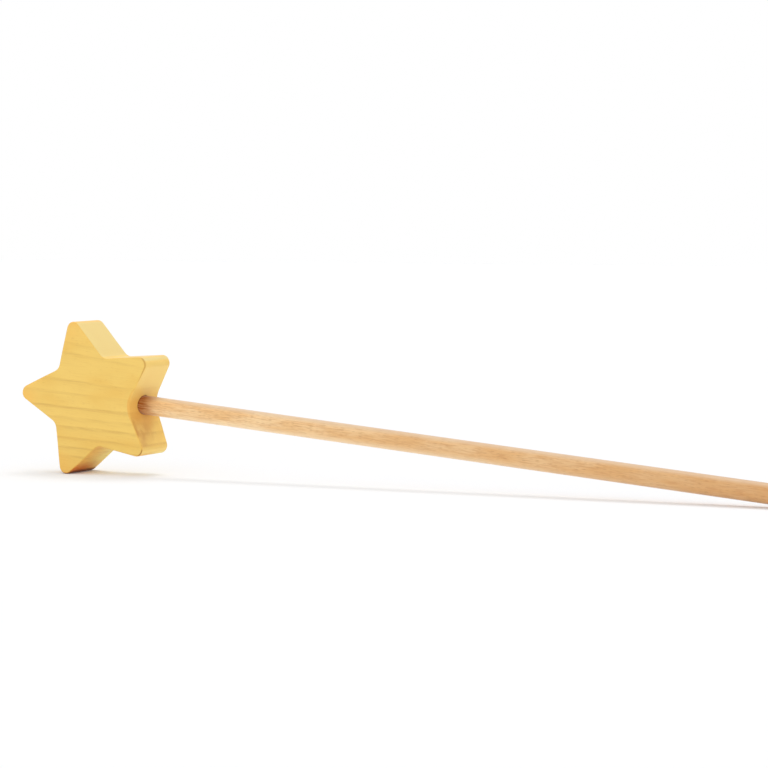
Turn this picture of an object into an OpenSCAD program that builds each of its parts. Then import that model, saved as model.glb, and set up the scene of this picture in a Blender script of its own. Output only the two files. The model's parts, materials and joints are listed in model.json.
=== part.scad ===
// Toy magic wand: a thick five-pointed wooden star on a plain round stick.
// The star is sawn from one board, rounded at its points and drilled in one inner corner.
// The stick's inner end is eased a little, and is glued into that blind hole.
// The wand is drawn as it lies: the star on edge on one point, the stick leaning down to its free end.
// +X runs along the wand towards the free end, +Y through the star's thickness, and +Z up.
// The origin is on the surface that the wand lies on, under the middle of its length.

/* [Star] */
// Centre of the star to a point, before the point is rounded
star_point_r = 37.5; // [33:0.5:60]
// Centre of the star to an inner corner, before the corner is rounded
star_corner_r = 19.8; // [16:0.1:25]
// Thickness of the board that the star is sawn from
star_thick = 20; // [13:0.5:40]
// Radius of each rounded point
point_round = 3.3; // [1.5:0.1:6]
// Radius of each rounded inner corner
corner_round = 4.3; // [1.5:0.1:8]
// Width that sanding takes off the arris between each flat face and the flanks
arris = 0.5; // [0.2:0.1:0.7]

/* [Stick] */
// Diameter of the stick
stick_d = 8; // [5:0.1:11]
// Length of the whole stick, with the end that is inside the star
stick_length = 320; // [150:1:500]
// Radius that the rim of the free end is sanded to
end_round = 1; // [0.2:0.1:1.2]

/* [Socket] */
// Depth of the drilled hole's straight wall, from the bottom of the rounded corner
socket_depth = 26; // [14:0.5:34]
// Full angle of the drill's point
drill_angle = 118; // [90:1:140]
// Room for glue round the eased end of the stick, on the radius
glue_gap = 0.1; // [0.05:0.01:0.3]
// Room for glue between the stick's inner end and the end of the straight wall
end_gap = 0.7; // [0.2:0.1:2]
// Bevel on the rim of the stick's inner end
inner_bevel = 0.6; // [0.2:0.1:1.2]
// How far inside the corner the eased end begins to swell to the full diameter
swell_inside = 1; // [0.5:0.1:4]
// Length over which the eased end swells
swell_length = 5; // [3:0.1:12]

/* [Hidden] */
$fn = 96;

// Angles of the star: a full turn, a right angle, and the step from one point to the next.
turn = 360;
right = 90;
point_count = 5;
point_step = turn / point_count;
half_step = point_step / 2;

// Half the angle at a point, and half the opening of an inner corner.
point_half = atan2(star_corner_r * sin(half_step), star_point_r - star_corner_r * cos(half_step));
corner_half = point_half + half_step;

// Each round stands this far past its flanks, so that arc and flank cross at a clean point.
round_bite = 0.01;
point_inset = point_round - round_bite;
corner_inset = corner_round - round_bite;

// Distance of each round's centre from the star's centre, and of the corner's bottom.
point_reach = star_point_r - point_inset / sin(point_half);
corner_reach = star_corner_r + corner_inset / sin(corner_half);
corner_bottom = corner_reach - corner_round;

// Straight length of a flank between its two rounds.
flank_full = norm([star_point_r - star_corner_r * cos(half_step), star_corner_r * sin(half_step)]);
flank_length = flank_full - point_inset / tan(point_half) - corner_inset / tan(corner_half);

// Directions of the points and of the inner corners: the stick leaves at 0, opposite a point.
point_dirs = [for (k = [0:point_count - 1]) turn / 2 + k * point_step];
corner_dirs = [for (d = point_dirs) d + half_step];

// The stick along its own axis, from its inner end, and that end's place from the star's centre.
stick_r = stick_d / 2;
eased_r = stick_r - glue_gap;
socket_end = corner_bottom - socket_depth;
stick_start = socket_end + end_gap;
swell_start = socket_depth - end_gap - swell_inside;
stick_end = stick_start + stick_length;
drill_tip = stick_r / tan(drill_angle / 2);

// The wand touches the surface with one point's round and with the rim of the stick's free end.
// The surface is the line tangent to both from below, so its slope is the stick's lean.
foot_run = stick_end - end_round + point_reach * cos(point_step);
foot_rise = point_reach * sin(point_step) - (stick_r - end_round);
foot_span = norm([foot_run, foot_rise]);
lean = atan2(foot_rise, foot_run) - asin((end_round - point_round) / foot_span);
star_height = point_round + point_reach * sin(point_step - lean);

// Ends of the wand along X from the star's centre, which the origin lies halfway between.
wand_left = -point_reach * cos(lean) - point_round;
wand_right = (stick_end - end_round) * cos(lean) + (stick_r - end_round) * sin(lean) + end_round;
star_x = -(wand_left + wand_right) / 2;

function polar(r, a) = [r * cos(a), r * sin(a)];

// Lays a piece drawn about the star's centre, with the stick along +X, down as the wand lies.
module as_it_lies() {
    translate([star_x, 0, star_height])
        rotate([0, lean, 0])
            children();
}

// Turns a profile of radius against length about the stick's axis, from a place on that axis.
module turned(start) {
    translate([start, 0, 0])
        rotate([0, right, 0])
            rotate_extrude()
                children();
}

// The star's flat outline: straight flanks between the points where they meet the rounds.
module star_outline() {
    flanks = [for (d = point_dirs) each [
        polar(point_reach, d) + polar(point_inset, d - right + point_half),
        polar(point_reach, d) + polar(point_inset, d + right - point_half),
        polar(corner_reach, d + half_step) + polar(corner_inset, d + half_step - right - corner_half),
        polar(corner_reach, d + half_step) + polar(corner_inset, d + half_step + right + corner_half)
    ]];
    difference() {
        union() {
            polygon(flanks);
            for (d = point_dirs)
                translate(polar(point_reach, d))
                    circle(r = point_round);
        }
        for (d = corner_dirs)
            translate(polar(corner_reach, d))
                circle(r = corner_round);
    }
}

// What sanding takes off the arris round one flat face, with that face at z = 0: a slope along each
// flank, and a cone round each point and each corner. The cuts run on past the slope's two edges, and
// each one ends inside its neighbour, where flank and round cross.
module sanded_off() {
    over = arris;
    under = arris + over;
    cut_height = under + over;
    flank_turn = right - point_half;
    point_turn = flank_turn - acos(point_inset / point_round) / 2;
    point_far = 2 * point_round;
    corner_stop = sqrt(corner_inset * round_bite / 2);
    flank_cut = point_round + flank_length - corner_stop;
    for (d = point_dirs) {
        translate(polar(point_reach, d)) {
            for (side = [-1, 1])
                rotate(d + side * flank_turn)
                    translate([point_inset, side * (flank_cut / 2 - point_round), 0])
                        rotate([right, 0, 0])
                            linear_extrude(flank_cut, center = true)
                                polygon([[over, -under], [over, over], [-under, over]]);
            rotate(d)
                translate([0, 0, -under])
                    difference() {
                        linear_extrude(cut_height)
                            polygon([
                                [0, 0],
                                polar(point_far, -point_turn),
                                [point_far, 0],
                                polar(point_far, point_turn)
                            ]);
                        cylinder(h = cut_height, r1 = point_round + over, r2 = point_round - under);
                    }
        }
        translate(concat(polar(corner_reach, d + half_step), -under))
            cylinder(h = cut_height, r1 = corner_round - over, r2 = corner_round + under);
    }
}

// The space that the drill leaves, from its point to a length along the straight wall.
module drilled(length) {
    turned(socket_end)
        polygon([[0, -drill_tip], [stick_r, 0], [stick_r, length], [0, length]]);
}

// The stick's profile: bevelled and eased at its inner end, rounded at its free end.
module stick_profile() {
    polygon([
        [0, 0],
        [eased_r - inner_bevel, 0],
        [eased_r, inner_bevel],
        [eased_r, swell_start],
        [stick_r, swell_start + swell_length],
        [stick_r, stick_length - end_round],
        [stick_r - end_round, stick_length],
        [0, stick_length]
    ]);
    translate([stick_r - end_round, stick_length - end_round])
        circle(r = end_round);
}

// Star: one solid piece of board, stained yellow, with the blind hole in one inner corner.
module star_head() {
    color("#efc76c")
        as_it_lies()
            difference() {
                rotate([right, 0, 0])
                    difference() {
                        linear_extrude(star_thick, center = true)
                            star_outline();
                        for (face = [0, turn / 2])
                            rotate([face, 0, 0])
                                translate([0, 0, star_thick / 2])
                                    sanded_off();
                    }
                drilled(socket_depth + stick_d);
            }
}

// Stick: one round rod of plain pale wood.
module wand_stick() {
    color("#e3b98a")
        as_it_lies()
            turned(stick_start)
                stick_profile();
}

// Glue: what fills the hole behind and round the stick's eased end.
module glue_film() {
    color("#eadfbe")
        as_it_lies()
            difference() {
                drilled(socket_depth - swell_inside);
                turned(stick_start)
                    stick_profile();
            }
}

star_head();
wand_stick();
glue_film();
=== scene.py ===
"""Toy magic wand: a thick wooden star, stained yellow, glued on the end of a plain round stick."""
import json

import bmesh
import bpy
import numpy as np
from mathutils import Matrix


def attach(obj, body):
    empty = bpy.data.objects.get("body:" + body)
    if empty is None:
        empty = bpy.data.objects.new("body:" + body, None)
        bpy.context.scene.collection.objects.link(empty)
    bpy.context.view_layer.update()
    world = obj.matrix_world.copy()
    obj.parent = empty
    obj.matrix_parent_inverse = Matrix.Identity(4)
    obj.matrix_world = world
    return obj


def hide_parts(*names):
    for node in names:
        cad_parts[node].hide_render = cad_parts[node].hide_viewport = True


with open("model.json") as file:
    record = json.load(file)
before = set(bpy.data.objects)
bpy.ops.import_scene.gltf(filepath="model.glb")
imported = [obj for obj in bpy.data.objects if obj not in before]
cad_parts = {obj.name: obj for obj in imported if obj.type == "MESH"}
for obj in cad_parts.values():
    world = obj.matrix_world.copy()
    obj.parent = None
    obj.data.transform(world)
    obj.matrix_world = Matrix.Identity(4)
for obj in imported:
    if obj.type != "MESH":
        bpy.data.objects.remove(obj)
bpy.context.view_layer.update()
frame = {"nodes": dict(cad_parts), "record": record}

# Star: one piece of planed board, sawn to five blunt points, sanded all over and stained a
# see-through yellow. A blind hole for the stick is drilled in the inner corner between two points.
# The growth layers lie almost along the stick and pass straight through the thickness.
mm = 0.001
mounts = {mount["name"]: mount for mount in frame["record"]["mounts"]}
star_centre = np.array(mounts["star_front"]["pos_m"]) * (1, 0, 1)
half_thick = -mounts["star_front"]["pos_m"][1]
stick_axis = np.array(mounts["stick_grip"]["axis"])
star_up = np.array((-stick_axis[2], 0, stick_axis[0]))
lean = np.arctan2(-stick_axis[2], stick_axis[0])
stick_r = mounts["stick_grip"]["dims"]["r_mm"] * mm

star_points = 5
point_r = 37.5 * mm
corner_r = 19.8 * mm
point_round = 3.3 * mm
corner_round = 4.3 * mm
drilled_round = 14 * mm
arris_flank = 0.5 * mm
arris_point = 0.72 * mm
arris_drilled = 1.0 * mm
saw_slip = 1.05 * mm
saw_slip_up = -3.5 * mm
saw_slip_spread = 11 * mm
socket_depth = 26 * mm
drill_angle = np.radians(118)
mouth_lip = 0.15 * mm
star_twist = np.radians(0.69)

# How far the saw ran off at each corner and point in turn, from the drilled corner and the point
# above it on: along the stick, and up in the star's plane as the imaginary part.
sawn_off = np.array((
    -0.1, -1.0 - 0.5j, -0.1 - 0.5j, -0.25 + 0.1j, 0,
    0, 0.2j, -0.1 - 0.34j, -0.4, 0.1 + 0.1j)) * mm

point_step = 2 * np.pi / star_points
half_step = point_step / 2
point_half = np.arctan2(corner_r * np.sin(half_step), point_r - corner_r * np.cos(half_step))
corner_half = point_half + half_step
point_reach = point_r - point_round / np.sin(point_half)
corner_reach = corner_r + corner_round / np.sin(corner_half)
drilled_reach = corner_r + drilled_round / np.sin(corner_half)
socket_end = corner_reach - corner_round - socket_depth
corner_arc = corner_round * (np.pi / 2 - corner_half)
point_arc = point_round * (np.pi / 2 - point_half)
flank = (corner_r * np.sin(half_step) / np.sin(point_half)
         - point_round / np.tan(point_half) - corner_round / np.tan(corner_half))
edge_step = 2 * (corner_arc + flank + point_arc)


def as_it_lies(along, across, up):
    """Place in the shared frame: the star's centre plus each distance times its own direction, which
    are along the stick, through the star's thickness, and up in the star's plane."""
    along, across, up = np.broadcast_arrays(along, across, up)
    across_axis = np.array((0, 1, 0))
    in_board = star_centre + along[..., None] * stick_axis + across[..., None] * across_axis
    return in_board + up[..., None] * star_up


def star_edge(run):
    """Outline of the star and its outward normal, as complex numbers in the star's plane, at a
    distance run along the edge from the bottom of the drilled corner. Each fifth is a half corner
    arc, a straight flank, a point's arc, and the same mirrored; the normal turns at one over the
    arc's radius on the arcs and keeps its direction on the flanks. As the real one is sawn by hand,
    the drilled corner is a wider arc between the same flanks, each corner and point lies a little
    off, with what is between them moved in proportion, and the whole star is turned a little."""
    fifth, within = np.divmod(run, edge_step)
    from_corner = np.minimum(within, edge_step - within)
    corner_turn = np.minimum(from_corner, corner_arc) / corner_round
    past_flank = np.maximum(from_corner - corner_arc - flank, 0)
    normal = np.exp(1j * (past_flank / point_round - corner_turn))
    on_flank = np.clip(from_corner - corner_arc, 0, flank) * np.exp(1j * corner_half)
    place = corner_reach - corner_round * np.exp(-1j * corner_turn) + on_flank
    on_point = point_reach * np.exp(1j * half_step) + point_round * normal
    place = np.where(past_flank > 0, on_point, place)
    mirrored = within > edge_step / 2
    turned = np.exp(1j * point_step * (fifth + mirrored))
    place = turned * np.where(mirrored, place.conj(), place)
    normal = turned * np.where(mirrored, normal.conj(), normal)
    in_drilled = (np.abs(place.imag) < drilled_round * np.cos(corner_half)) & (place.real > 0)
    arc_back = np.sqrt(np.maximum(drilled_round ** 2 - place.imag ** 2, 0))
    normal = np.where(in_drilled, (arc_back - 1j * place.imag) / drilled_round, normal)
    place = np.where(in_drilled, drilled_reach - arc_back + 1j * place.imag, place)
    turns = np.arange(len(sawn_off) + 1) * edge_step / 2
    place = place + np.interp(run % turns[-1], turns, np.append(sawn_off, sawn_off[0]))
    as_sawn = np.exp(1j * star_twist)
    return as_sawn * place, as_sawn * normal


def arris_width(run):
    """Width of the sanded arris along the edge: the flanks' width, swelling at each point to the
    points' width by a raised cosine, and at the drilled corner to that corner's width by a bell
    curve, with a slow wave where the sanding block pressed harder."""
    swell_sharpness = 6
    drilled_spread = 6 * mm
    wave_share = 0.12
    wave_count = 13
    swell = ((1 - np.cos(2 * np.pi * run / edge_step)) / 2) ** swell_sharpness
    wave = 1 + wave_share * np.sin(wave_count * run * 2 * np.pi / (star_points * edge_step))
    drilled_swell = np.exp(-(run / drilled_spread) ** 2)
    width = arris_flank + (arris_point - arris_flank) * swell
    return (width + (arris_drilled - arris_flank) * drilled_swell) * wave


def saw_lean(along, across, up):
    """Shift along the stick where the saw leaned at the drilled corner: inwards at the front and
    outwards at the back in step with the distance through the thickness, as a bell curve of height
    that is centred just below the stick and fades towards the star's other side."""
    side_share = np.clip(along / corner_r, 0, 1) ** 2
    height_share = np.exp(-((up - saw_slip_up) / saw_slip_spread) ** 2)
    return saw_slip * across / half_thick * side_share * height_share


def grid_quads(rows, columns, first, closed):
    """Corner numbers of the quads of a grid of rows by columns, counted from its first vertex; a
    closed grid joins its last column to its first."""
    row, column = np.mgrid[:rows - 1, :columns if closed else columns - 1]
    after = (column + 1) % columns
    this_row, next_row = row * columns, (row + 1) * columns
    quads = (this_row + column, this_row + after, next_row + after, next_row + column)
    return first + np.stack(quads, -1).reshape(-1, 4)


def surface_piece(name, grids, marks=None):
    """One closed mesh piece from grids of places, each with its closed flag: the grids' shared rims
    and poles are merged, and the faces turned outwards. Marks are a value for each vertex."""
    merge_within = 0.001 * mm
    places = np.concatenate([grid.reshape(-1, 3) for grid, closed in grids])
    firsts = np.cumsum([0] + [grid.shape[0] * grid.shape[1] for grid, closed in grids])
    quads = np.concatenate([
        grid_quads(grid.shape[0], grid.shape[1], first, closed)
        for (grid, closed), first in zip(grids, firsts)
    ])
    mesh = bpy.data.meshes.new(name)
    mesh.from_pydata(places.tolist(), [], quads.tolist())
    for mark, values in (marks or {}).items():
        mesh.attributes.new(mark, "FLOAT", "POINT").data.foreach_set("value", np.concatenate(values))
    work = bmesh.new()
    work.from_mesh(mesh)
    bmesh.ops.remove_doubles(work, verts=work.verts, dist=merge_within)
    bmesh.ops.dissolve_degenerate(work, edges=work.edges, dist=merge_within)
    bmesh.ops.recalc_face_normals(work, faces=work.faces)
    work.to_mesh(mesh)
    work.free()
    mesh.polygons.foreach_set("use_smooth", np.ones(len(mesh.polygons), bool))
    piece = bpy.data.objects.new(name, mesh)
    bpy.context.scene.collection.objects.link(piece)
    return piece


# The wall runs round the whole edge; its window at the drilled corner is filled by rings that run
# from the window's rim to the hole's mouth, over the lip, and down the hole to the drill's point.
edge_columns = 440
wall_rows = 33
window_half = 20
run = (np.arange(edge_columns) - window_half) * star_points * edge_step / edge_columns
edge_place, edge_normal = star_edge(run)
edge_arris = arris_width(run)
row_shares = np.linspace(-1, 1, wall_rows)[:, None]
wall_across = row_shares * (half_thick - edge_arris)
wall_columns = np.arange(2 * window_half, edge_columns + 1) % edge_columns
wall_along = edge_place.real + saw_lean(edge_place.real, wall_across, edge_place.imag)
wall = as_it_lies(wall_along, wall_across, edge_place.imag)[:, wall_columns]

last_row, last_column = wall_rows - 1, 2 * window_half
rim_column = np.concatenate((
    np.arange(last_column), np.full(last_row, last_column),
    np.arange(last_column, 0, -1), np.zeros(last_row, int)))
rim_row = np.concatenate((
    np.zeros(last_column, int), np.arange(last_row),
    np.full(last_column, last_row), np.arange(last_row, 0, -1)))
rim_run = run[rim_column]
rim_across = wall_across[rim_row, rim_column]
mouth_turn = np.arctan2(rim_across, rim_run)
window_run = run[:last_column + 1]
window_up = edge_place.imag[:last_column + 1]


def mouth_run(up):
    """Distance along the edge at which the drilled corner's wall has a height up."""
    return np.interp(up, window_up, window_run)


window_rings = 15
lip_rings = 5
hole_rings = 9
mouth_r = stick_r + mouth_lip
ring_shares = np.linspace(0, 1, window_rings)[:, None]
ring_run = rim_run + ring_shares * (mouth_run(mouth_r * np.cos(mouth_turn)) - rim_run)
ring_across = rim_across + ring_shares * (mouth_r * np.sin(mouth_turn) - rim_across)
ring_edge = star_edge(ring_run)[0]
ring_along = ring_edge.real + saw_lean(ring_edge.real, ring_across, ring_edge.imag)
window = as_it_lies(ring_along, ring_across, ring_edge.imag)

lip_turn = np.linspace(0, np.pi / 2, lip_rings)[:, None]
lip_r = mouth_r - mouth_lip * np.sin(lip_turn)
lip_up, lip_across = lip_r * np.cos(mouth_turn), lip_r * np.sin(mouth_turn)
lip_edge = star_edge(mouth_run(lip_up))[0].real
lip_along = lip_edge + saw_lean(lip_edge, lip_across, lip_up) - mouth_lip * (1 - np.cos(lip_turn))
lip = as_it_lies(lip_along, lip_across, lip_up)

hole_shares = np.linspace(0, 1, hole_rings)[:, None]
hole_along = lip_along[-1] + hole_shares * (socket_end - lip_along[-1])
hole = as_it_lies(hole_along, lip_across[-1], lip_up[-1])
drill_shares = np.array((1, 0.5, 0))[:, None]
drill_along = socket_end - (1 - drill_shares) * stick_r / np.tan(drill_angle / 2)
drill_point = as_it_lies(drill_along, drill_shares * lip_across[-1], drill_shares * lip_up[-1])

# Each flat face is joined to the wall by its sanded arris, which is marked for the stain.
arris_rings = 7
face_shares = np.array((1, 0.985, 0.8, 0.5, 0.22, 0))[:, None]
arris_turn = np.linspace(0, np.pi / 2, arris_rings)[:, None]
arris_place = edge_place - edge_normal * edge_arris * (1 - np.cos(arris_turn))
arris_across = half_thick - edge_arris * (1 - np.sin(arris_turn))
star_grids = [(wall, False), (window, True), (lip, True), (hole, True), (drill_point, True)]
arris_marks = [np.zeros(grid.shape[0] * grid.shape[1]) for grid, closed in star_grids]
for side in (-1, 1):
    arris_along = arris_place.real + saw_lean(edge_place.real, side * arris_across, edge_place.imag)
    star_grids.append((as_it_lies(arris_along, side * arris_across, arris_place.imag), True))
    arris_marks.append(np.repeat(np.sin(2 * arris_turn.ravel()), edge_columns))
    face_along, face_up = face_shares * arris_along[-1], face_shares * arris_place[-1].imag
    star_grids.append((as_it_lies(face_along, side * half_thick, face_up), True))
    arris_marks.append(np.zeros(face_along.size))
star = surface_piece("star", star_grids, {"arris": arris_marks})


def plug(tree, node, sockets):
    """Gives a node's inputs their values: each is a constant, or an output to link from."""
    for name, value in sockets.items():
        if isinstance(value, bpy.types.NodeSocket):
            tree.links.new(value, node.inputs[name])
        else:
            node.inputs[name].default_value = value


def put(tree, kind, sockets=None, **settings):
    """Adds a node with its settings and the values of its inputs."""
    node = tree.nodes.new(kind)
    for name, value in settings.items():
        setattr(node, name, value)
    plug(tree, node, sockets or {})
    return node


def sum_of(tree, operation, first, second=0.0, third=0.0):
    """Output of one Math node; the constants and outputs are its terms in order."""
    return put(tree, "ShaderNodeMath", {0: first, 1: second, 2: third}, operation=operation).outputs[0]


def product(tree, first, *others):
    """Product of two or more values."""
    for other in others:
        first = sum_of(tree, "MULTIPLY", first, other)
    return first


def between(tree, share, low, high):
    """Value that goes from low to high as a share goes from 0 to 1."""
    return sum_of(tree, "MULTIPLY_ADD", share, high - low, low)


def distance(tree, first, second):
    """Root of the sum of two squares."""
    squares = sum_of(tree, "ADD", product(tree, first, first), product(tree, second, second))
    return sum_of(tree, "SQRT", squares)


def eased(tree, value, span):
    """Smooth step of a value from 0 at the span's start to 1 at its end, either way round."""
    sockets = {"Value": value, "From Min": span[0], "From Max": span[1]}
    return put(tree, "ShaderNodeMapRange", sockets, interpolation_type="SMOOTHSTEP").outputs["Result"]


def towards(tree, vector, direction):
    """How far a place lies along a direction, or how far an outward normal faces it, from -1 to 1:
    their dot product."""
    sockets = {0: vector, 1: tuple(direction)}
    return put(tree, "ShaderNodeVectorMath", sockets, operation="DOT_PRODUCT").outputs["Value"]


def noise(tree, board, settings, stretch=(1.0, 1.0, 1.0)):
    """Cloudy noise on the board, whose places are first multiplied by the stretch."""
    stretched = put(tree, "ShaderNodeVectorMath", {0: board, 1: stretch}, operation="MULTIPLY")
    return put(tree, "ShaderNodeTexNoise", {"Vector": stretched.outputs[0], **settings}).outputs[0]


def tinted(tree, under, over, *shares):
    """Colour over laid on colour under by the product of the shares. The Mix node's sockets go by
    number, because its colours have the same names as its other values."""
    sockets = {0: product(tree, *shares), 6: under, 7: over}
    return put(tree, "ShaderNodeMix", sockets, data_type="RGBA").outputs[2]


def seen(red, green, blue):
    """Linear colour with full alpha of a colour as it is seen on a screen, in 0 to 255: the share c
    of full brightness becomes ((c + 0.055) / 1.055) to the power 2.4."""
    shares = np.array((red, green, blue)) / 255
    return (*((shares + 0.055) / 1.055) ** 2.4, 1.0)


def fibre_group():
    """Marks that fibres leave on planed wood, from places on the board in mm with the fibres along
    X: noise drawn out along the fibres for the streaks, the same far larger for the drift of tone,
    and long cells, of which only a share holds a short dark fleck."""
    streaks = {"Scale": 1.0, "Detail": 4.0, "Roughness": 0.6}
    tones = {"Scale": 1.0, "Detail": 2.0, "Roughness": 0.5}
    fleck_rim = (0.45, 0.1)
    tree = bpy.data.node_groups.new("Wood fibres", "ShaderNodeTree")
    tree.interface.new_socket(name="Board", in_out="INPUT", socket_type="NodeSocketVector")
    for name in ("Fibre length", "Fibre width", "Drift length", "Drift width",
                 "Fleck length", "Fleck width", "Fleck share"):
        tree.interface.new_socket(name=name, in_out="INPUT", socket_type="NodeSocketFloat")
    for name in ("Fibre", "Drift", "Fleck"):
        tree.interface.new_socket(name=name, in_out="OUTPUT", socket_type="NodeSocketFloat")
    given = tree.nodes.new("NodeGroupInput").outputs
    kept = tree.nodes.new("NodeGroupOutput")

    def drawn_out(mark):
        """Places on the board divided by a mark's length along X and by its width across."""
        length, width = given[mark + " length"], given[mark + " width"]
        spread = put(tree, "ShaderNodeCombineXYZ", {"X": length, "Y": width, "Z": width}).outputs[0]
        sockets = {0: given["Board"], 1: spread}
        return put(tree, "ShaderNodeVectorMath", sockets, operation="DIVIDE").outputs[0]

    fibre = put(tree, "ShaderNodeTexNoise", {"Vector": drawn_out("Fibre"), **streaks}).outputs[0]
    drift = put(tree, "ShaderNodeTexNoise", {"Vector": drawn_out("Drift"), **tones}).outputs[0]
    cell = put(tree, "ShaderNodeTexVoronoi", {"Vector": drawn_out("Fleck"), "Scale": 1.0}).outputs
    draw = put(tree, "ShaderNodeSeparateColor", {0: cell["Color"]}).outputs[0]
    chosen = sum_of(tree, "LESS_THAN", draw, given["Fleck share"])
    fleck = product(tree, chosen, eased(tree, cell["Distance"], fleck_rim))
    plug(tree, kept, {"Fibre": fibre, "Drift": drift, "Fleck": fleck})
    return tree


wood_fibres = fibre_group()


def new_material(name):
    """Empty node material with its Principled shader, and places on the wand in mm from the star's
    centre: along the stick, through the thickness, and up in the star's plane."""
    material = bpy.data.materials.new(name)
    material.use_nodes = True
    tree = material.node_tree
    shader = tree.nodes["Principled BSDF"]
    coords = put(tree, "ShaderNodeTexCoord")
    board = put(tree, "ShaderNodeMapping", {
        "Vector": coords.outputs["Object"], "Location": tuple(star_centre),
        "Rotation": (0.0, lean, 0.0), "Scale": (mm, mm, mm)}, vector_type="TEXTURE")
    return material, tree, shader, board.outputs["Vector"]


def fibres(tree, board, sizes):
    """The fibre group placed in a material with that wood's own sizes."""
    return put(tree, "ShaderNodeGroup", {"Board": board, **sizes}, node_tree=wood_fibres).outputs


# The stain, layer by layer. Places are in mm on the board: along the stick, through the thickness
# from front to back, and above the star's middle. A surface faces up, or faces the stick's free end,
# by -1 to 1. Each span runs from where its tint starts to where the tint is full.
star_fibres = {
    "Fibre length": 9.0, "Fibre width": 0.45, "Drift length": 30.0, "Drift width": 11.0,
    "Fleck length": 2.6, "Fleck width": 0.28, "Fleck share": 0.16}
stained, tree, shader, board = new_material("stained star wood")
marks = fibres(tree, board, star_fibres)
along, through, above = put(tree, "ShaderNodeSeparateXYZ", {0: board}).outputs
outward = put(tree, "ShaderNodeNewGeometry").outputs["Normal"]
facing_end = towards(tree, outward, stick_axis)
facing_up = towards(tree, outward, (0, 0, 1))

# Growth lines: their heights in mm above the middle of the star, each with its strength. A ring
# darkens slowly upwards to its line of late wood and starts pale again right above it. The lines
# climb a little along the stick in the lower half, and fall the more the higher they are above it.
growth_lines = (
    (-24.7, 0.8), (-20.9, 0.9), (-16.8, 1.0), (-12.2, 1.0), (-8.2, 0.5),
    (-3.7, 1.0), (2.1, 0.45), (7.2, 0.8), (18.2, 0.9), (22.3, 0.55))
growth_reach = 40.0
growth_slope = 0.03
growth_fall = 0.0045
late_before = 1.3
late_after = 0.65
late_start_share = 0.2
late_fibre_span = (0.15, 0.75)
bend_stretch = (0.03, 0.03, 0.05)
bend_noise = {"Scale": 1.0, "Detail": 2.0, "Roughness": 0.55}
bend_most = 0.6
faint_above_span = (11.0, 14.0)
faint_along_span = (-14.0, 2.0)
faint_share = 0.5
stain_pale = seen(246, 208, 113)
stain_late = seen(218, 173, 88)
bend = between(tree, noise(tree, board, bend_noise, bend_stretch), -bend_most, bend_most)
slope = sum_of(tree, "MULTIPLY_ADD", sum_of(tree, "MAXIMUM", above, 0.0), growth_fall, -growth_slope)
growth = sum_of(tree, "ADD", sum_of(tree, "MULTIPLY_ADD", along, slope, above), bend)
growth_share = sum_of(tree, "DIVIDE", sum_of(tree, "ADD", growth, growth_reach), 2 * growth_reach)
late_wood = put(tree, "ShaderNodeValToRGB", {"Fac": growth_share})
ramp = late_wood.color_ramp.elements
ramp.remove(ramp[1])
ramp[0].color = (0, 0, 0, 1)
for height, strength in growth_lines:
    stops = ((height - late_before, late_start_share), (height, strength), (height + late_after, 0))
    for stop_height, share in stops:
        stop = ramp.new((stop_height + growth_reach) / (2 * growth_reach))
        stop.color = (share, share, share, 1)
faint = product(tree, eased(tree, above, faint_above_span), eased(tree, along, faint_along_span))
late_share = product(
    tree, late_wood.outputs["Color"], eased(tree, marks["Fibre"], late_fibre_span),
    between(tree, faint, 1.0, 1 - faint_share))
colour = tinted(tree, stain_pale, stain_late, late_share)

# Fibres: a slow drift of tone, finer streaks, and short flecks.
stain_rich = seen(240, 195, 98)
stain_fibre = seen(232, 188, 97)
stain_fleck = seen(214, 160, 68)
rich_span = (0.42, 0.75)
streak_span = (0.5, 0.8)
streak_share = 0.45
fleck_share = 0.3
colour = tinted(tree, colour, stain_rich, eased(tree, marks["Drift"], rich_span))
colour = tinted(tree, colour, stain_fibre, eased(tree, marks["Fibre"], streak_span), streak_share)
colour = tinted(tree, colour, stain_fleck, marks["Fleck"], fleck_share)

# End grain where it leans down: painted paler, a painted sheen.
end_painted_sheen = seen(255, 220, 128)
end_span = (0.55, 0.95)
sheen_low_span = (-0.1, -0.4)
end_sheen_share = 0.7
end_grain = eased(tree, sum_of(tree, "ABSOLUTE", facing_end), end_span)
colour = tinted(tree, colour, end_painted_sheen, end_grain, eased(tree, facing_up, sheen_low_span), end_sheen_share)

# Points: richer on those away from the stick.
stain_tip = seen(250, 195, 97)
tip_reach_span = (23.0, 35.0)
tip_along_span = (14.0, -4.0)
tip_drift_span = (0.1, 0.7)
on_tips = eased(tree, distance(tree, along, above), tip_reach_span)
colour = tinted(tree, colour, stain_tip, on_tips, eased(tree, along, tip_along_span),
                eased(tree, marks["Drift"], tip_drift_span))

# Undersides: painted light, paler as if lit from the table below, and painted shade that deepens
# towards the front.
under_painted_light = seen(255, 231, 140)
under_painted_shade = seen(250, 196, 92)
under_span = (-0.58, -0.8)
under_shade_front_span = (7.0, -8.0)
under = eased(tree, facing_up, under_span)
colour = tinted(tree, colour, under_painted_light, under)
colour = tinted(tree, colour, under_painted_shade, under, eased(tree, through, under_shade_front_span))

# Upper flanks on the stick's side: painted paler, a painted sheen.
upper_painted_sheen = seen(232, 208, 136)
sheen_up_span = (0.42, 0.6)
sheen_end_span = (0.3, 0.6)
upper_sheen_share = 0.8
colour = tinted(tree, colour, upper_painted_sheen, eased(tree, facing_up, sheen_up_span),
                eased(tree, facing_end, sheen_end_span), upper_sheen_share)

# Pores: cut open on the undersides, where they hold more stain.
stain_pore = seen(196, 124, 44)
pore_stretch = (0.8, 0.1, 1.4)
pore_noise = {"Scale": 1.0, "Detail": 3.0, "Roughness": 0.6}
pore_span = (0.45, 0.75)
pore_share = 0.3
pores = eased(tree, noise(tree, board, pore_noise, pore_stretch), pore_span)
colour = tinted(tree, colour, stain_pore, under, pores, pore_share)
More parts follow.
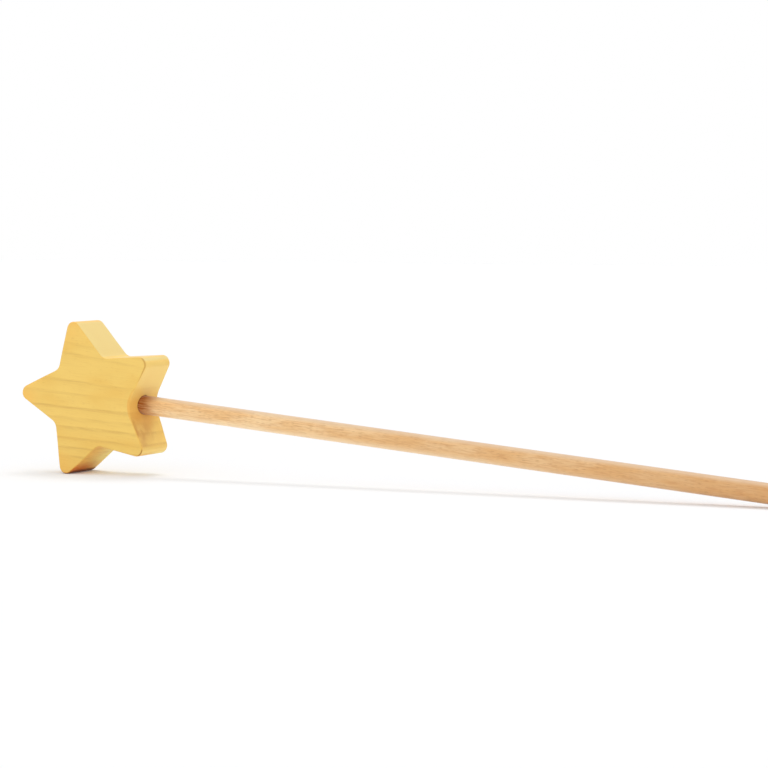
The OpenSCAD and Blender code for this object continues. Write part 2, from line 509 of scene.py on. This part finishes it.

# Foot: painted shade on the point that stands on the table, less of it at the back, and a darker
# painted contact shadow along its very bottom.
foot_painted_shade = seen(224, 112, 14)
contact_painted_shadow = seen(146, 76, 12)
foot_turn_span = (-0.2, -0.65)
foot_height_span = (6.0, 0.2)
foot_depth_span = (9.0, -3.0)
foot_back_share = 0.4
contact_shadow_height_span = (1.6, 0.2)
board_up = (-float(np.sin(lean)), 0.0, float(np.cos(lean)))
above_table = sum_of(tree, "ADD", towards(tree, board, board_up), float(star_centre[2] / mm))
foot = eased(tree, facing_up, foot_turn_span)
foot_front = between(tree, eased(tree, through, foot_depth_span), foot_back_share, 1.0)
colour = tinted(tree, colour, foot_painted_shade, foot, eased(tree, above_table, foot_height_span), foot_front)
colour = tinted(tree, colour, contact_painted_shadow, foot, eased(tree, above_table, contact_shadow_height_span))

# Below the hole: painted shade under the stick on the end grain, broken into patches.
below_hole_painted_shade = seen(206, 146, 72)
below_hole_turn_span = (0.05, 0.35)
below_hole_low_span = (-23.0, -10.0)
below_hole_high_span = (2.0, -5.0)
below_hole_depth_span = (9.0, -9.0)
patch_noise = {"Scale": 0.16, "Detail": 2.0, "Roughness": 0.5}
patch_span = (0.35, 0.65)
patch_least_share = 0.4
patches = eased(tree, noise(tree, board, patch_noise), patch_span)
colour = tinted(tree, colour, below_hole_painted_shade, end_grain, eased(tree, facing_up, below_hole_turn_span),
                eased(tree, above, below_hole_low_span), eased(tree, above, below_hole_high_span),
                eased(tree, through, below_hole_depth_span), between(tree, patches, patch_least_share, 1.0))

# Arrises: a richer tint all along them, with a thin dark line of stain along the front
# arris of the two points beside the stick.
arris_tint = seen(236, 180, 78)
stain_line = seen(170, 112, 46)
arris_share = 0.25
line_along_span = (16.0, 19.0)
line_low_span = (-16.5, -18.5)
line_high_span = (9.0, 15.0)
line_turn_span = (0.12, 0.4)
line_front_span = (-8.5, -9.0)
line_high_share = 0.6
line_share = 0.8
arris = put(tree, "ShaderNodeAttribute", attribute_name="arris").outputs["Fac"]
colour = tinted(tree, colour, arris_tint, arris, arris_share)
line_high = product(tree, eased(tree, above, line_high_span), line_high_share)
line = sum_of(tree, "MAXIMUM", line_high, eased(tree, above, line_low_span))
colour = tinted(tree, colour, stain_line, line, eased(tree, along, line_along_span),
                eased(tree, facing_end, line_turn_span), eased(tree, through, line_front_span),
                arris, line_share)

# Mouth: browned round the hole, partly stain in the end grain and partly painted shade, most below the
# stick, and painted shade darkening the inside of the hole.
mouth_stain_and_shade = seen(232, 167, 75)
hole_painted_shade = seen(200, 132, 60)
mouth_squeeze_share = 0.55
mouth_span = (10.5, 5.0)
mouth_wall_span = (0.02, 0.16)
mouth_low_span = (6.0, -1.0)
mouth_high_share = 0.3
mouth_low_share = 0.58
hole_span = (4.3, 4.1)
hole_along_span = (15.0, 17.0)
from_mouth = distance(tree, product(tree, through, mouth_squeeze_share), above)
mouth_low = between(tree, eased(tree, above, mouth_low_span), mouth_high_share, mouth_low_share)
colour = tinted(tree, colour, mouth_stain_and_shade, eased(tree, from_mouth, mouth_span),
                eased(tree, facing_end, mouth_wall_span), mouth_low)
from_axis = distance(tree, through, above)
colour = tinted(tree, colour, hole_painted_shade, eased(tree, from_axis, hole_span),
                eased(tree, along, hole_along_span))

# Finish: satin, duller on the undersides, with the fibres standing up and the late wood sanded down.
satin_roughness = 0.3
fibre_roughness = 0.5
under_roughness = 0.2
star_finish = {"Specular IOR Level": 0.2, "Sheen Weight": 0.12, "Sheen Roughness": 0.4}
star_bump = {"Strength": 0.35, "Distance": 0.05 * mm}
roughness = between(tree, marks["Fibre"], satin_roughness, fibre_roughness)
relief = sum_of(tree, "SUBTRACT", marks["Fibre"], sum_of(tree, "ADD", marks["Fleck"], late_share))
plug(tree, shader, {
    "Base Color": colour, **star_finish,
    "Roughness": sum_of(tree, "MULTIPLY_ADD", under, under_roughness, roughness),
    "Normal": put(tree, "ShaderNodeBump", {"Height": relief, **star_bump}).outputs["Normal"]})
star.data.materials.append(stained)
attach(star, "root")
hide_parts("star_head")

# Glue: wood glue run into the drilled hole, which the stick pushed round its eased end and into the
# drill's point. It is hidden in the finished joint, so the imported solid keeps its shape.
glue_cream = seen(234, 223, 190)
glue_amber = seen(214, 190, 132)
cloud_noise = {"Scale": 0.6, "Detail": 3.0}
cloud_span = (0.35, 0.7)
clear_roughness = 0.2
cloudy_roughness = 0.5
bubble_cells = {"Scale": 1.6}
bubble_span = (0.1, 0.3)
glue_bump = {"Strength": 0.3, "Distance": 0.05 * mm}
glue_look, tree, shader, board = new_material("dried glue")
cloud = noise(tree, board, cloud_noise)
bubbles = put(tree, "ShaderNodeTexVoronoi", {"Vector": board, **bubble_cells}).outputs["Distance"]
relief = eased(tree, bubbles, bubble_span)
plug(tree, shader, {
    "Base Color": tinted(tree, glue_cream, glue_amber, eased(tree, cloud, cloud_span)),
    "Roughness": between(tree, cloud, clear_roughness, cloudy_roughness),
    "Normal": put(tree, "ShaderNodeBump", {"Height": relief, **glue_bump}).outputs["Normal"]})
glue = frame["nodes"]["glue_film"]
glue.data.materials.clear()
glue.data.materials.append(glue_look)

# Stick: one plain round rod of pale reddish wood, sanded along its length. Its inner end is eased
# and pushed into the star's hole with glue, and the rim of its free end is sanded round.
stick_length = 320 * mm
end_gap = 0.7 * mm
glue_gap = 0.1 * mm
inner_bevel = 0.6 * mm
swell_inside = 1 * mm
swell_length = 5 * mm
end_round = 1 * mm
end_ring_share = 0.9
stick_start = socket_end + end_gap
swell_start = socket_depth - end_gap - swell_inside
stick_columns = 72
eased_rows = 9
wall_step = 2.5 * mm
rim_rows = 9

# The profile runs from the inner end's middle over its bevel and the eased stretch to the swell, and
# on along the full thickness and round the free end's rim to its middle; it is turned about the axis.
rim_turn = np.linspace(0, np.pi / 2, rim_rows)
wall_length = np.arange(swell_start + swell_length, stick_length - end_round, wall_step)
stick_along = np.concatenate((
    (0, 0, inner_bevel), np.linspace(2 * inner_bevel, swell_start, eased_rows), wall_length,
    stick_length - end_round * (1 - np.sin(rim_turn)), (stick_length, stick_length)))
eased_r = stick_r - glue_gap
rim_r = stick_r - end_round
stick_radius = np.concatenate((
    (0, eased_r - inner_bevel, eased_r), np.full(eased_rows, eased_r),
    np.full(len(wall_length), stick_r), rim_r + end_round * np.cos(rim_turn),
    (end_ring_share * rim_r, 0)))
stick_turn = np.linspace(0, 2 * np.pi, stick_columns, endpoint=False)
stick_grid = as_it_lies(
    stick_start + stick_along[:, None],
    stick_radius[:, None] * np.cos(stick_turn), stick_radius[:, None] * np.sin(stick_turn))
stick = surface_piece("stick", [(stick_grid, True)])

# Wood: a slow drift of tone, darker towards the free end partly in the wood's tone and partly as
# painted shade near the table, with streaks and short dark flecks.
stick_fibres = {
    "Fibre length": 5.5, "Fibre width": 0.5, "Drift length": 22.0, "Drift width": 4.5,
    "Fleck length": 2.8, "Fleck width": 0.28, "Fleck share": 0.3}
wood_pale = seen(253, 218, 166)
wood_warm = seen(244, 198, 138)
dusk_tone_and_shade = seen(210, 156, 99)
wood_streak = seen(204, 146, 92)
wood_fleck = seen(166, 102, 55)
warm_span = (0.37, 0.63)
dusk_near_span = (45.0, 170.0)
dusk_far_span = (170.0, 330.0)
dusk_near_share = 0.42
dusk_far_share = 0.38
wood_streak_span = (0.42, 0.68)
wood_streak_share = 0.54
wood_fleck_share = 0.45
bare, tree, shader, board = new_material("bare stick wood")
marks = fibres(tree, board, stick_fibres)
place = put(tree, "ShaderNodeSeparateXYZ", {0: board}).outputs
along, above = place["X"], place["Z"]
outward = put(tree, "ShaderNodeNewGeometry").outputs["Normal"]
facing_end = towards(tree, outward, stick_axis)
facing_up = towards(tree, outward, (0, 0, 1))
colour = tinted(tree, wood_pale, wood_warm, eased(tree, marks["Drift"], warm_span))
# Darker towards the free end: the wood's own tone together with painted shade.
dusk_near = product(tree, eased(tree, along, dusk_near_span), dusk_near_share)
dusk_far = product(tree, eased(tree, along, dusk_far_span), dusk_far_share)
colour = tinted(tree, colour, dusk_tone_and_shade, sum_of(tree, "ADD", dusk_far, dusk_near))
colour = tinted(tree, colour, wood_streak, eased(tree, marks["Fibre"], wood_streak_span),
                wood_streak_share)
colour = tinted(tree, colour, wood_fleck, marks["Fleck"], wood_fleck_share)

# Painted light paler below, painted shade duller along the top, darker end grain, and at the star brown
# from glue and stain with painted shade of the point above.
stick_under_painted_light = seen(255, 228, 184)
top_painted_shade = seen(212, 182, 148)
wood_end = seen(196, 142, 92)
root_glue_and_shade = seen(154, 78, 0)
under_light_turn_span = (-0.1, -0.9)
under_light_far_span = (310.0, 130.0)
under_light_near_span = (26.0, 44.0)
under_light_share = 0.6
top_shade_span = (0.5, 0.95)
top_shade_share = 0.65
wood_end_span = (0.5, 0.95)
wood_end_share = 0.7
root_along_span = (32.0, 21.6)
root_above_span = (-14.0, 0.0)
root_fibre_span = (0.4, 0.6)
root_least_share = 0.75
# Painted light: paler on the underside, away from both ends.
colour = tinted(tree, colour, stick_under_painted_light, eased(tree, facing_up, under_light_turn_span),
                eased(tree, along, under_light_far_span), eased(tree, along, under_light_near_span), under_light_share)
# Painted shade: duller and greyer along the top.
colour = tinted(tree, colour, top_painted_shade, eased(tree, facing_up, top_shade_span), top_shade_share)
colour = tinted(tree, colour, wood_end, eased(tree, facing_end, wood_end_span), wood_end_share)
root_streaks = between(tree, eased(tree, marks["Fibre"], root_fibre_span), root_least_share, 1.0)
# Glue and stain at the star, with painted shade of the point above on the upper side.
colour = tinted(tree, colour, root_glue_and_shade, eased(tree, along, root_along_span),
                eased(tree, above, root_above_span), root_streaks)

# Finish: bare and sanded, with the fibres standing up and the flecks sunk in.
sanded_roughness = 0.28
streak_roughness = 0.53
stick_finish = {"Specular IOR Level": 0.25, "Sheen Weight": 0.35, "Sheen Roughness": 0.4}
stick_bump = {"Strength": 0.4, "Distance": 0.06 * mm}
relief = sum_of(tree, "SUBTRACT", marks["Fibre"], marks["Fleck"])
plug(tree, shader, {
    "Base Color": colour, **stick_finish,
    "Roughness": between(tree, marks["Fibre"], sanded_roughness, streak_roughness),
    "Normal": put(tree, "ShaderNodeBump", {"Height": relief, **stick_bump}).outputs["Normal"]})
stick.data.materials.append(bare)
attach(stick, "root")
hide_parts("wand_stick")

# Floor: a plain white studio table that runs on as its own backdrop, and takes the wand's shadow. It
# lies against the star's lowest point and the stick's free end, as the wand rests on both.
floor_half = 4.0
floor_white = (0.93, 0.94, 0.965, 1.0)
floor_finish = {"Base Color": floor_white, "Roughness": 0.9, "Specular IOR Level": 0.0}
floor_white_share = 0.48
floor_near = 13 * mm
pure_white = (1, 1, 1, 1)
white_strength = 1.0
corners = np.array(((-1, -1, 0), (1, -1, 0), (1, 1, 0), (-1, 1, 0))) * floor_half
foot_low, end_low = (
    grid.reshape(-1, 3)[grid[..., 2].argmin()] for grid in (wall, stick_grid))
floor_slope = (end_low[2] - foot_low[2]) / (end_low[0] - foot_low[0])
corners[:, 2] = foot_low[2] + floor_slope * (corners[:, 0] - foot_low[0])
floor_mesh = bpy.data.meshes.new("floor")
floor_mesh.from_pydata(corners.tolist(), [], [(0, 1, 2, 3)])
floor = bpy.data.objects.new("floor", floor_mesh)
bpy.context.scene.collection.objects.link(floor)


def looked_at(tree):
    """1 where a ray comes from the camera, straight or by way of a mirror or glass, and 0 for light."""
    rays = put(tree, "ShaderNodeLightPath").outputs
    through_gloss = sum_of(tree, "MAXIMUM", rays["Is Glossy Ray"], rays["Is Transmission Ray"])
    return sum_of(tree, "MAXIMUM", rays["Is Camera Ray"], through_gloss)


table_white = bpy.data.materials.new("table white")
table_white.use_nodes = True
tree = table_white.node_tree
shader = tree.nodes["Principled BSDF"]
plug(tree, shader, floor_finish)
white = put(tree, "ShaderNodeEmission", {"Color": pure_white, "Strength": white_strength})
clear = put(tree, "ShaderNodeAmbientOcclusion", {"Distance": floor_near}).outputs["AO"]
white_share = product(tree, clear, floor_white_share, looked_at(tree))
shown = put(tree, "ShaderNodeMixShader", {0: white_share, 1: shader.outputs[0], 2: white.outputs[0]})
plug(tree, tree.nodes["Material Output"], {"Surface": shown.outputs[0]})
floor.data.materials.append(table_white)

# Light: a white studio all round, brighter in front and on the right, and two soft lamps above and
# behind the wand, side by side, so that the shadows fall forwards and spread to both sides.
sky_level = 0.775
sky_front = 0.28
sky_right = 0.2
lamp_strength = 0.52
lamp_softness = np.radians(22)
lamp_tip = np.radians(-21)
lamp_turns = np.radians((-10, 30))
world = bpy.data.worlds.new("studio")
bpy.context.scene.world = world
world.use_nodes = True
tree = world.node_tree
tree.nodes.clear()
look = put(tree, "ShaderNodeTexCoord").outputs["Generated"]
away = put(tree, "ShaderNodeSeparateXYZ", {0: look}).outputs
level = sum_of(tree, "MULTIPLY_ADD", away["Y"], -sky_front, sky_level)
level = sum_of(tree, "MULTIPLY_ADD", away["X"], sky_right, level)
shown = put(tree, "ShaderNodeMix", {0: looked_at(tree), 2: level, 3: white_strength}).outputs[0]
sky = put(tree, "ShaderNodeBackground", {"Color": pure_white, "Strength": shown})
put(tree, "ShaderNodeOutputWorld", {"Surface": sky.outputs[0]})

for lamp_turn in lamp_turns:
    lamp = bpy.data.objects.new("soft lamp", bpy.data.lights.new("soft lamp", "SUN"))
    lamp.data.energy = lamp_strength
    lamp.data.angle = lamp_softness
    lamp.rotation_euler = (lamp_tip, 0, lamp_turn)
    bpy.context.scene.collection.objects.link(lamp)

# Camera: low in front of the wand and well to the right of the star, so that the star's right-hand
# flanks show and the stick runs off towards the lower right.
camera_place = (0.4645, -0.935, 0.1125)
camera_turn = np.radians(26.666)
camera_dip = np.radians(3.864)
camera_sensor = 36.0
camera_lens = 121.875
camera = bpy.data.objects.new("camera", bpy.data.cameras.new("camera"))
camera.data.sensor_width = camera_sensor
camera.data.lens = camera_lens
camera.location = camera_place
camera.rotation_euler = (np.pi / 2 - camera_dip, 0, camera_turn)
bpy.context.scene.collection.objects.link(camera)
bpy.context.scene.camera = camera
bpy.context.scene.view_settings.view_transform = "Standard"
